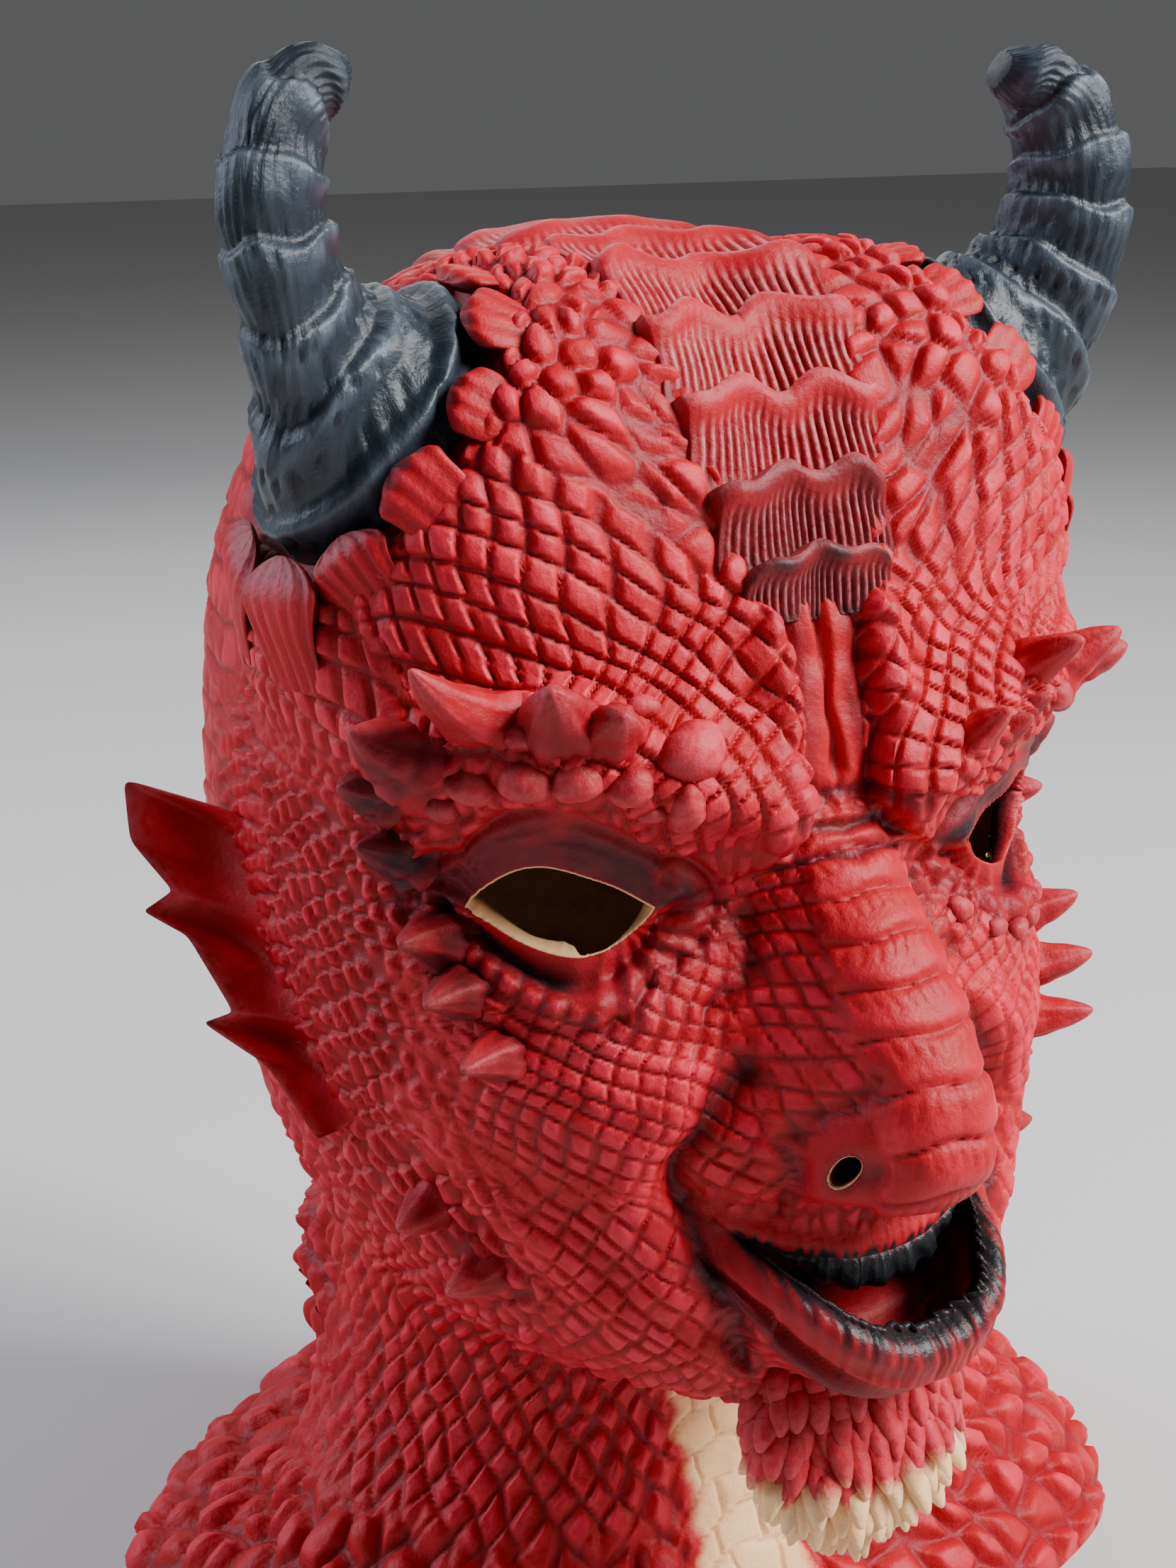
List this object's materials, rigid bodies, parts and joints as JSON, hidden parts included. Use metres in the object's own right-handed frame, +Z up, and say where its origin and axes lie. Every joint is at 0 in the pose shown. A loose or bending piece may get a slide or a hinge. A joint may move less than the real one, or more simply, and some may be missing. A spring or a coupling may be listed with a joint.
{
  "type": "devil mask",
  "caption": "Full-head devil mask of thin latex with scaly skin, hooked nose, brow spikes, ears, curved horns and a shoulder bib, worn over the head.",
  "frame": {"origin": "bottom centre of the bounding box, on the plane of the bib's rim", "axes": "+Z up; the face looks along -Y; +X to the right when the face is seen from the front"},
  "size_m": [0.2926, 0.2538, 0.4094],
  "materials": {
    "painted_latex": "satin",
    "black_horn": "satin"
  },
  "bodies": {
    "root": {"mask_skin": "painted_latex", "horn_left": "black_horn", "horn_right": "black_horn"}
  },
  "joints": []
}
